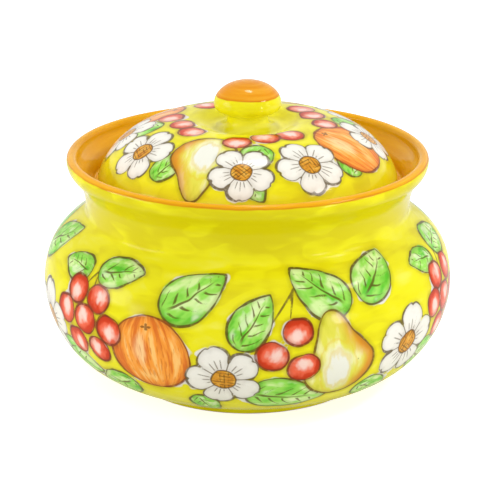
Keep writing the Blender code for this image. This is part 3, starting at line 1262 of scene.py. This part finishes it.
@dataclass
class Jar:
    """The thrown jar: foot ring, belly, neck, flared lip and the gallery inside. Millimetres.

    Attributes:
        fold: Where wall meets bead, an offset line folds back. It is left out this close to the lip.
        glaze_foot: How far below the mark "foot" the ground starts.
        band_drop: How far past the mark "lip" the orange starts.
        garland_start: Where the first stretch of the garland starts on the map.
        slip: How far the painter's hand misses: in millimetres, in degrees and as a share of the size.
        seeds: Seeds of the slips and of the motifs' numbers.
    """

    foot_r: float = 75.5
    foot_h: float = 5.5
    belly_r: float = 125.0
    belly_rise: float = 55.1
    neck_r: float = 98.5
    shoulder_rise: float = 46.0
    lip_r: float = 109.6
    flare_rise: float = 30.9
    wall: float = 6.5
    foot_ring_w: float = 8.5
    foot_recess: float = 3.5
    foot_round: float = 1.2
    foot_cove: float = 1.3
    gallery_w: float = 8.0
    gallery_t: float = 6.5
    gallery_rise: float = 14.9
    gallery_round: float = 1.6
    fold: float = 0.3
    segments: int = 480
    fine: float = 1.6
    coarse: float = 9.0
    unevenness: float = 0.0004
    glaze_foot: float = 0.6
    band_drop: float = 1.2
    stretches: int = 3
    garland_start: float = 60.0
    slip: tuple[float, float, float] = (0.5, 4.0, 0.025)
    seeds: tuple[int, int] = (11, 5)

    def gallery_z(self) -> float:
        """Return the height of the shelf that the lid rests on."""
        return self.foot_h + self.belly_rise + self.shoulder_rise + self.gallery_rise

    def section(self) -> Section:
        """Draw the jar's outline, from the middle of its underside outwards and round.

        Returns:
            The section, with marks where foot, belly, shoulder, lip, lining, bowl and floor start.
        """
        section = Section()
        ring_in = self.foot_r - self.foot_ring_w
        edge = self.foot_round
        belly = (self.belly_r, self.foot_h + self.belly_rise)
        neck = (self.neck_r, belly[1] + self.shoulder_rise)
        lip = (self.lip_r, neck[1] + self.flare_rise)
        lower = curve((self.foot_r, self.foot_h), 9.5, belly, 90.0, (0.594, 0.132))
        upper = curve(belly, 90.0, neck, 90.0, (0.697, 0.149))
        flare = curve(neck, 90.0, lip, 90.0, (0.712, 0.316))

        section.run([(0.0, self.foot_recess), (ring_in - edge, self.foot_recess)], self.coarse)
        section.run(arc((ring_in - edge, self.foot_recess - edge), (edge, edge), 90.0, 0.0), 0.6)
        section.run([(ring_in, self.foot_recess - edge), (ring_in, edge)], 1.0)
        section.run(arc((ring_in + edge, edge), (edge, edge), 180.0, 270.0), 0.5)
        section.run([(ring_in + edge, 0.0), (self.foot_r - edge, 0.0)], 1.5)
        section.run(arc((self.foot_r - edge, edge), (edge, edge), -90.0, 0.0), 0.5)
        section.run([(self.foot_r, edge), (self.foot_r, self.foot_h - 1.0)], 0.8, "foot")
        join = lower[lower[:, 0] > self.foot_r + self.foot_cove]
        section.run(curve((self.foot_r, self.foot_h - 1.0), 90.0, join[0], 12.0, (0.45, 0.45)), 0.5)
        section.run(join, self.fine, "belly")
        section.run(upper, self.fine, "shoulder")
        section.run(flare, self.fine)
        bead = arc((self.lip_r - self.wall / 2, lip[1]), (self.wall / 2, self.wall / 2), 0.0, 180.0)
        section.run(bead, 1.1, "lip")

        lining = offset(flare, self.wall)[::-1]
        shelf = self.gallery_z()
        above = lining[(lining[:, 1] > shelf + self.gallery_round) & (lining[:, 1] < lip[1] - self.fold)]
        section.run(np.concatenate([bead[-1:], above]), self.fine)
        corner = (crossing(lining, shelf, 1) - self.gallery_round, shelf)
        section.run(curve(above[-1], -95.0, corner, 180.0, (0.4, 0.4)), 0.6)
        tip = self.neck_r - self.wall - self.gallery_w
        section.run([corner, (tip + edge, shelf)], 1.2)
        section.run(arc((tip + edge, shelf - edge), (edge, edge), 90.0, 180.0), 0.5)
        bowl = np.concatenate([offset(lower, self.wall), offset(upper, self.wall)[1:]])
        bowl = bowl[bowl[:, 1] < neck[1] - self.wall]
        under = curve(bowl[-1], heading(bowl), (tip, shelf - self.gallery_t), 110.0, (0.4, 0.2))[::-1]
        section.run([(tip, shelf - edge), under[0]], 1.2, "lining")
        section.run(under, 2.0)
        section.run(bowl[::-1], self.coarse, "bowl")
        section.run([bowl[0], (0.0, bowl[0][1])], self.coarse, "floor")
        return section

    def garland(self) -> list[Coat]:
        """Lay out the garland that runs round the belly.

        Three even stretches hold a pear, an orange, blossoms, a bunch of cherries and leaves each.

        Returns:
            Coats of painting, from the first that is brushed on to the last.
        """
        # Coat, place along and up the belly, turn, size and bend
        plan = (
            ("leaf_under", 2, 20, 140, 1.05, -0.006), ("leaf_over", 10, 24, 32, 1.0, 0.008),
            ("pears", 0, -38, 96, 1.05, 0.0), ("blossoms", 46, -12, 10, 1.1, 0.0),
            ("leaf_under", 58, -26, -24, 0.95, 0.006), ("leaf_over", 14, -36, -36, 0.85, 0.004),
            ("leaf_over", 90, 31, 168, 0.7, 0.006), ("leaf_under", 97, 33, 14, 0.85, -0.006),
            ("cherry_under", 84, 19, 90, 1.0, 0.0), ("cherry_under", 104, 18, 80, 1.0, 0.0),
            ("cherry_over", 75, 4, 100, 1.0, 0.0), ("cherry_over", 94, 3, 90, 1.05, 0.0),
            ("cherry_over", 114, 1, 75, 1.0, 0.0), ("cherry_under", 85, -13, 95, 1.0, 0.0),
            ("cherry_under", 105, -14, 85, 0.95, 0.0), ("leaf_over", 150, 18, 36, 1.05, 0.007),
            ("oranges", 143, -8, 96, 1.12, 0.0), ("leaf_over", 126, -32, 212, 0.85, -0.006),
            ("blossoms", 188, -20, 40, 1.05, 0.0), ("leaf_over", 196, 2, 56, 0.85, 0.0),
            ("leaf_under", 200, -32, -16, 1.1, 0.006), ("leaf_under", 170, -36, -76, 0.7, 0.0),
            ("stalks", 229, 36, 262, 0.9, 0.0), ("stalks", 229, 36, 245, 1.5, 0.0),
            ("cherry_under", 216, -4, 60, 1.0, 0.0), ("cherry_over", 230, 10, 85, 0.95, 0.0),
            ("cherry_over", 234, -13, 100, 1.05, 0.0), ("stalks", 98, 36, 240, 0.8, 0.0),
            ("stalks", 98, 36, 285, 0.8, 0.0),
        )
        coats = {"stalks": Coat("stalks", Stroke())} | fruit_coats(Cherry())
        rng = np.random.default_rng(self.seeds[0])
        stretch = math.tau * self.belly_r / self.stretches
        apart, twist, growth = self.slip
        for number in range(self.stretches):
            for name, x, y, turned, size, bend in plan:
                shift = rng.normal(0.0, apart, 2)
                at = self.garland_start + x + number * stretch + shift[0]
                turned += rng.normal(0.0, twist)
                size *= 1 + rng.normal(0.0, growth)
                coats[name].places.append(Place(at, y + shift[1], turned, size, bend))
        return list(coats.values())

    def build(self) -> bpy.types.Object:
        """Turn, paint and place the jar.

        Returns:
            The finished piece.
        """
        section = self.section()
        marks = section.marks
        coats = self.garland()
        bands = ((0.0, Band.CLAY), (marks["foot"] - self.glaze_foot, Band.GROUND),
                 (marks["lip"] + self.band_drop, Band.ORANGE), (marks["lining"], Band.LINING))
        # Painted shade: the yellow ground is darker a little above the foot, where the belly overhangs it,
        # and most in the hollow of the neck under the lip
        painted_shade = ((marks["foot"], 9.0, 0.16), (marks["lip"] - 15.0, 26.0, 0.5))
        glaze = PaintedGlaze("painted_tin_glaze_on_jar", bands, tuple(coats), painted_shade,
                             orange=Wash("#F2B62A", "#E9A60A", "#D38A06")).build()
        piece = turn("jar_body_glazed", section, self.segments, self.unevenness,
                     "belly:lip bowl:floor", glaze)

        # The map is a strip as long as the belly's girth, at real size on the belly
        climb, turns = section.climb(), section.turns()
        turns -= np.interp(marks["shoulder"], climb, turns)
        spots = recall(piece.data, "position") / MM
        here = recall(piece.data, "climb")
        height = np.interp(here, climb, turns) * self.belly_r
        height[(here <= marks["foot"]) | (here >= marks["lip"])] = OFF_THE_MAP
        flat = np.stack([np.arctan2(spots[:, 0], -spots[:, 1]) * self.belly_r, height], axis=1)
        chart = Chart(flat, np.hypot(spots[:, 0], spots[:, 1]) / self.belly_r, math.tau * self.belly_r)
        lay_out(piece.data, chart, coats, self.seeds[1])
        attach(piece, "jar")
        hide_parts("jar_body")
        return piece


@dataclass
class Lid:
    """The domed lid with its locating ring and its luted knob. Millimetres.

    Attributes:
        map_r: Radius at which the lid's map is at real size.
        map_margin: How far the map runs past the dome, on both sides.
        glaze_tuck: How far the ground runs on under the rim.
        wreath_start: Where the first quarter of the wreath starts, in degrees.
        slip: How far the painter's hand misses: in degrees, and as a share of the size.
        seeds: Seeds of the slips and of the motifs' numbers.
    """

    jar: Jar
    clearance: float = 1.2
    wall: float = 6.0
    edge_h: float = 5.1
    edge_round: float = 2.4
    crest_r: float = 36.0
    crest_h: float = 38.5
    dip: float = 4.2
    ring_clearance: float = 1.5
    ring_t: float = 5.5
    ring_h: float = 10.5
    ring_round: float = 1.5
    knob_r: float = 20.4
    knob_top_h: float = 14.0
    knob_under_h: float = 8.2
    stem_h: float = 14.2
    waist_r: float = 12.4
    stem_base_r: float = 18.5
    cap_z: float = 175.6
    seat_gap: float = 0.3
    segments: int = 476
    fine: float = 1.4
    coarse: float = 4.0
    unevenness: float = 0.0005
    map_r: float = 58.0
    map_margin: float = 4.0
    glaze_tuck: float = 5.0
    quarters: int = 4
    wreath_start: float = 14.0
    slip: tuple[float, float] = (3.0, 0.02)
    seeds: tuple[int, int] = (4, 9)

    def section(self) -> Section:
        """Draw the lid's outline with the knob on top, from the middle of its hollow.

        Returns:
            The section, with marks where ring, dome, knob and cap start.
        """
        section = Section()
        seat = self.jar.gallery_z() + self.seat_gap
        rim = (self.jar.neck_r - self.jar.wall - self.clearance, self.jar.gallery_z() + self.edge_h)
        crest = (self.crest_r, self.jar.gallery_z() + self.crest_h)
        crown = crest[1] - self.dip
        dome = curve(rim, 107.0, crest, 180.0, (0.195, 0.565))
        dip = curve(crest, 180.0, (self.stem_base_r + 2.0, crown + 0.2), 178.0, (0.45, 0.35))
        ring_out = self.jar.neck_r - self.jar.wall - self.jar.gallery_w - self.ring_clearance
        ring_in = ring_out - self.ring_t
        low = seat - self.ring_h + self.ring_round
        edge = (self.ring_round, self.ring_round)

        lining = offset(np.concatenate([dome, dip[1:]]), self.wall)
        roof = lining[lining[:, 0] < ring_in - self.wall][::-1]
        wall_top = (ring_in, crossing(lining, ring_in) - 1.5 * self.wall)
        section.run([(0.0, roof[0][1]), roof[0]], self.coarse)
        section.run(roof, self.coarse)
        section.run(curve(roof[-1], heading(roof), wall_top, -90.0, (0.4, 0.4)), 2.0)
        section.run([wall_top, (ring_in, low)], 1.5, "ring")
        section.run(arc((ring_in + self.ring_round, low), edge, 180.0, 270.0), 0.5)
        section.run(arc((ring_out - self.ring_round, low), edge, 270.0, 360.0), 0.5)
        section.run([(ring_out, low), (ring_out, seat)], 1.5)
        section.run([(ring_out, seat), (rim[0] - self.edge_round, seat)], 1.5)
        section.run(curve((rim[0] - self.edge_round, seat), 0.0, rim, 90.0, (0.45, 0.45)), 0.8)
        section.run(dome, self.fine, "dome")
        section.run(dip, self.fine)

        # The knob's stem flares into the crown below its waist, and meets the ball just above it
        ball = crown + self.seat_gap + self.stem_h
        cut = math.degrees(math.acos(self.waist_r * 1.08 / self.knob_r))
        under = arc((0.0, ball), (self.knob_r, self.knob_under_h), -cut, 0.0)
        waist = (self.waist_r, (2 * under[0][1] + crown + 1.1) / 3)
        section.run(curve(dip[-1], 176.0, waist, 90.0, (0.62, 0.42)), 0.9, "knob")
        section.run(curve(waist, 90.0, under[0], 20.0, (0.4, 0.3)), 0.9)
        section.run(under, 1.0)
        top = arc((0.0, ball), (self.knob_r, self.knob_top_h), 0.0, 90.0)
        section.run(top[top[:, 1] <= self.cap_z], 1.0)
        section.run(top[top[:, 1] >= self.cap_z], 1.0, "cap")
        return section

    def wreath(self) -> list[Coat]:
        """Lay out the wreath round the lid: blossoms and fruit by turns, cherries nearer the knob.

        Returns:
            Coats of painting, from the first that is brushed on to the last.
        """
        # Coat, distance from the axis on the map, place round it, turn from the way out, size and bend
        fruit = (("oranges", 68.0, 50.0, 196.0, 1.02, 0.0), ("pears", 44.0, 50.0, 8.0, 0.92, 0.0))
        rest = (
            ("leaf_under", 52.0, -4.0, -38.0, 0.72, 0.006), ("leaf_over", 88.0, 34.0, 158.0, 0.66, -0.006),
            ("leaf_under", 68.0, 70.0, 30.0, 0.72, 0.006), ("cherry_under", 46.0, -22.0, 180.0, 0.88, 0.0),
            ("cherry_over", 40.0, 1.0, 180.0, 0.88, 0.0), ("cherry_under", 41.0, 23.0, 180.0, 0.88, 0.0),
        )
        coats = fruit_coats(Cherry(skin=Wash("#F6CFC2", "#EC8A6E", "#D2401C")))
        rng = np.random.default_rng(self.seeds[0])
        twist, growth = self.slip
        for number in range(self.quarters):
            blossoms = (("blossoms", 75.0, -17.0, 31.0 * number, 0.92, 0.0),
                        ("blossoms", 73.0, 16.0, 50.0 + 23.0 * number, 0.96, 0.0))
            for name, radius, around, lean, size, bend in (*blossoms, fruit[number % 2], *rest):
                outwards = 360.0 / self.quarters * number + self.wreath_start + around - 90.0
                way = math.radians(outwards)
                turned = outwards + lean + rng.normal(0.0, twist)
                size *= 1 + rng.normal(0.0, growth)
                spot = (radius * math.cos(way), radius * math.sin(way))
                coats[name].places.append(Place(*spot, turned, size, bend))
        return list(coats.values())

    def build(self) -> bpy.types.Object:
        """Turn, paint and place the lid.

        Returns:
            The finished piece.
        """
        section = self.section()
        marks = section.marks
        coats = self.wreath()
        bands = ((0.0, Band.LINING), (marks["ring"], Band.CLAY),
                 (marks["dome"] - self.glaze_tuck, Band.GROUND), (marks["cap"], Band.ORANGE))
        glaze = PaintedGlaze("painted_tin_glaze_on_lid", bands, tuple(coats)).build()
        piece = turn("lid_glazed", section, self.segments, self.unevenness, "dome:knob", glaze)

        # The map is a disc round the knob
        climb, turns = section.climb(), section.turns()
        outer = climb >= marks["dome"]
        turns -= np.interp(-self.map_r, -section.points[outer, 0], turns[outer])
        spots = recall(piece.data, "position") / MM
        here = recall(piece.data, "climb")
        reach = self.map_r * np.exp(-np.interp(here, climb, turns))
        away = np.maximum(np.hypot(spots[:, 0], spots[:, 1]), 1.0)
        flat = spots[:, :2] / away[:, None] * reach[:, None]
        outside = (here < marks["dome"] - self.map_margin) | (here > marks["knob"] + self.map_margin)
        flat[outside] = OFF_THE_MAP
        lay_out(piece.data, Chart(flat, away / reach), coats, self.seeds[1])
        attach(piece, "lid_assembly")
        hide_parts("lid", "lid_knob")
        return piece


# Camera, floor and light

@dataclass(frozen=True)
class View:
    """Where the picture is taken from. Metres, degrees and millimetres of lens."""

    distance: float = 1.2
    elevation: float = 19.31
    aim: tuple[float, float, float] = (-0.00463, 0.0, 0.08307)
    lens: float = 146.19
    sensor: float = 36.0

    def build(self) -> None:
        """Set up the camera."""
        data = bpy.data.cameras.new("camera")
        data.lens = self.lens
        data.sensor_width = self.sensor
        camera = stand("camera", data)
        rise = math.radians(self.elevation)
        away = Vector((0.0, -math.cos(rise), math.sin(rise)))
        camera.location = Vector(self.aim) + self.distance * away
        camera.rotation_euler = away.to_track_quat("Z", "Y").to_euler()
        bpy.context.scene.camera = camera


@dataclass(frozen=True)
class Lamp:
    """A soft box by the table, pointed at the jar's axis. Metres and watts."""

    name: str
    place: tuple[float, float, float]
    aim_z: float
    size: tuple[float, float]
    power: float

    def build(self) -> None:
        """Hang the lamp."""
        data = bpy.data.lights.new(self.name, "AREA")
        data.shape = "ELLIPSE"
        data.size, data.size_y = self.size
        data.energy = self.power
        light = stand(self.name, data)
        light.location = self.place
        way = Vector(self.place) - Vector((0.0, 0.0, self.aim_z))
        light.rotation_euler = way.to_track_quat("Z", "Y").to_euler()


@dataclass(frozen=True)
class Studio:
    """A white table and soft lights. The table and the background show as plain white."""

    floor_size: float = 40.0
    floor_white: str = "#ECECEB"
    floor_glow: float = 0.7
    mirrored_glow: float = 0.12
    world_strength: float = 0.53
    lamps: tuple[Lamp, ...] = (
        Lamp("overhead", (0.05, 0.3, 1.3), 0.1, (0.3, 0.22), 5.0),
        Lamp("front", (-0.05, -0.84, 0.92), 0.1, (1.0, 0.7), 1.0),
        Lamp("left", (-1.1, -0.62, 0.24), 0.1, (0.2, 0.4), 1.3),
        Lamp("far_left", (-1.25, -0.25, 0.45), 0.08, (0.6, 0.6), 6.2),
        Lamp("right", (0.9, -0.8, 0.2), 0.1, (0.2, 0.25), 2.7),
        Lamp("right_side", (1.08, -0.3, 0.45), 0.08, (0.3, 0.5), 1.6),
        Lamp("high_right", (0.785, -0.301, 0.865), 0.08, (0.35, 0.1), 2.3),
    )

    def build(self) -> None:
        """Set up floor, world and lights."""
        self.table()

        # Plain white to the camera and in reflections, and a plain level of light on the object
        world = bpy.data.worlds.new("white_studio")
        tree = blank(world)
        path = add(tree, "ShaderNodeLightPath").outputs
        seen = chain(tree, path["Is Camera Ray"], ("MAXIMUM", path["Is Glossy Ray"]),
                     ("MAXIMUM", path["Is Transmission Ray"]))
        strength = chain(tree, seen, ("BETWEEN", self.world_strength, 1.0))
        shade = add(tree, "ShaderNodeBackground", {"Color": (1.0, 1.0, 1.0, 1.0), "Strength": strength})
        add(tree, "ShaderNodeOutputWorld", {"Surface": shade})
        bpy.context.scene.world = world
        for lamp in self.lamps:
            lamp.build()

    def table(self) -> None:
        """Lay the white table top, which glows in the picture and in reflections only."""
        # Painted board: an even, dull white that takes a soft shadow and shows no gloss
        half = self.floor_size / 2
        mesh = bpy.data.meshes.new("floor")
        corners = [(-half, -half, 0), (half, -half, 0), (half, half, 0), (-half, half, 0)]
        mesh.from_pydata(corners, [], [(0, 1, 2, 3)])
        floor = stand("floor", mesh)
        material = bpy.data.materials.new("matt_white_table")
        tree = blank(material)
        path = add(tree, "ShaderNodeLightPath").outputs
        straight = chain(tree, path["Is Camera Ray"], ("*", self.floor_glow))
        strength = chain(tree, path["Is Glossy Ray"], ("MAXIMUM", path["Is Transmission Ray"]),
                         ("*", self.mirrored_glow), ("+", straight))
        glow = add(tree, "ShaderNodeEmission", {"Strength": strength})
        matt = add(tree, "ShaderNodeBsdfDiffuse", {"Color": hue(self.floor_white)})
        both = add(tree, "ShaderNodeAddShader", {0: matt, 1: glow})
        add(tree, "ShaderNodeOutputMaterial", {"Surface": both})
        mesh.materials.append(material)


def main() -> None:
    """Build every piece and report it."""
    logging.basicConfig(level=logging.INFO, format="%(name)s: %(message)s")
    bpy.context.scene.view_settings.view_transform = "Standard"
    View().build()
    Studio().build()
    jar = Jar()
    for piece in (jar.build(), Lid(jar).build()):
        mesh = piece.data
        mesh.calc_loop_triangles()
        size = " x ".join(f"{side / MM:.1f}" for side in np.ptp(recall(mesh, "position"), axis=0))
        log.info("%s: %d triangles, %s mm", piece.name, len(mesh.loop_triangles), size)


if __name__ == "__main__":
    main()
